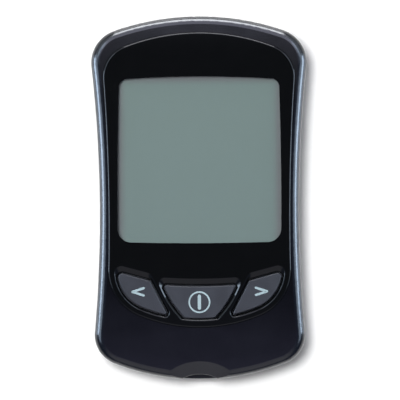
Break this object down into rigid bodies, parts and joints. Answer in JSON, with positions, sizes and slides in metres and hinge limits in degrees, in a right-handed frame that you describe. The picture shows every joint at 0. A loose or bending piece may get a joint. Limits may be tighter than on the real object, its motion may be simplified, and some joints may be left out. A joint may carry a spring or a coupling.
{
  "type": "blood glucose meter",
  "caption": "Pocket blood glucose meter with a waisted case, large display, three push keys, a test-strip port and a hinged battery door.",
  "frame": {"origin": "middle of the flat back, on the resting surface", "axes": "+Z out of the display, +Y to the display end, -Y to the test-strip end, +X to the display's right"},
  "size_m": [0.0564, 0.095, 0.017],
  "materials": {
    "cover_metallic": "satin charcoal with a fine metallic fleck",
    "panel_gloss_black": "high gloss black",
    "adhesive_tape": "matte",
    "clear_lens": "clear gloss plastic",
    "foam_rubber": "foam",
    "polarizer_film": "grey-green film",
    "display_glass": "clear",
    "reflector_film": "satin",
    "frame_plastic": "matte",
    "zebra_rubber": "matte",
    "board_laminate": "green solder mask",
    "chip_plastic": "matte",
    "can_steel": "satin",
    "connector_plastic": "matte",
    "contact_brass": "plated",
    "rear_plastic": "fine matte texture",
    "label_film": "satin, blank",
    "screw_steel": "dark zinc",
    "key_plastic": "satin grey",
    "plunger_plastic": "matte",
    "switch_plastic": "matte"
  },
  "bodies": {
    "meter_body": {"front_cover": "cover_metallic", "face_panel": "panel_gloss_black", "panel_adhesive": "adhesive_tape", "display_lens": "clear_lens", "display_gasket": "foam_rubber", "lcd_front_polarizer": "polarizer_film", "lcd_front_glass": "display_glass", "lcd_rear_glass": "display_glass", "lcd_rear_reflector": "reflector_film", "lcd_frame": "frame_plastic", "lcd_zebra_strip": "zebra_rubber", "main_board": "board_laminate", "microcontroller": "chip_plastic", "memory_chip": "chip_plastic", "crystal": "can_steel", "chip_components": "chip_plastic", "buzzer": "chip_plastic", "strip_connector": "connector_plastic", "strip_contacts": "contact_brass", "data_jack": "connector_plastic", "data_jack_contacts": "contact_brass", "coin_cell_can": "can_steel", "coin_cell_gasket": "frame_plastic", "coin_cell_cap": "can_steel", "positive_contact": "contact_brass", "negative_contact": "contact_brass", "rear_cover": "rear_plastic", "rear_label": "label_film", "housing_screws": "screw_steel", "board_screws": "screw_steel", "left_switch": "switch_plastic", "power_switch": "switch_plastic", "right_switch": "switch_plastic"},
    "left_key_unit": {"left_key": "key_plastic", "left_plunger": "plunger_plastic"},
    "power_key_unit": {"power_key": "key_plastic", "power_plunger": "plunger_plastic"},
    "right_key_unit": {"right_key": "key_plastic", "right_plunger": "plunger_plastic"},
    "door_unit": {"battery_door": "rear_plastic"}
  },
  "joints": [
    {"name": "left_key_press", "type": "slide", "parent": "meter_body", "child": "left_key_unit", "axis": [0, 0, -1], "range_m": [0, 0.0005], "stiffness_N_per_m": 800, "springref_m": -0.0005},
    {"name": "power_key_press", "type": "slide", "parent": "meter_body", "child": "power_key_unit", "axis": [0, 0, -1], "range_m": [0, 0.0005], "stiffness_N_per_m": 800, "springref_m": -0.0005},
    {"name": "right_key_press", "type": "slide", "parent": "meter_body", "child": "right_key_unit", "axis": [0, 0, -1], "range_m": [0, 0.0005], "stiffness_N_per_m": 800, "springref_m": -0.0005},
    {"name": "door_hinge", "type": "hinge", "parent": "meter_body", "child": "door_unit", "pos_m": [0, 0.0264, 0.00075], "axis": [1, 0, 0], "range_deg": [0, 85]}
  ]
}
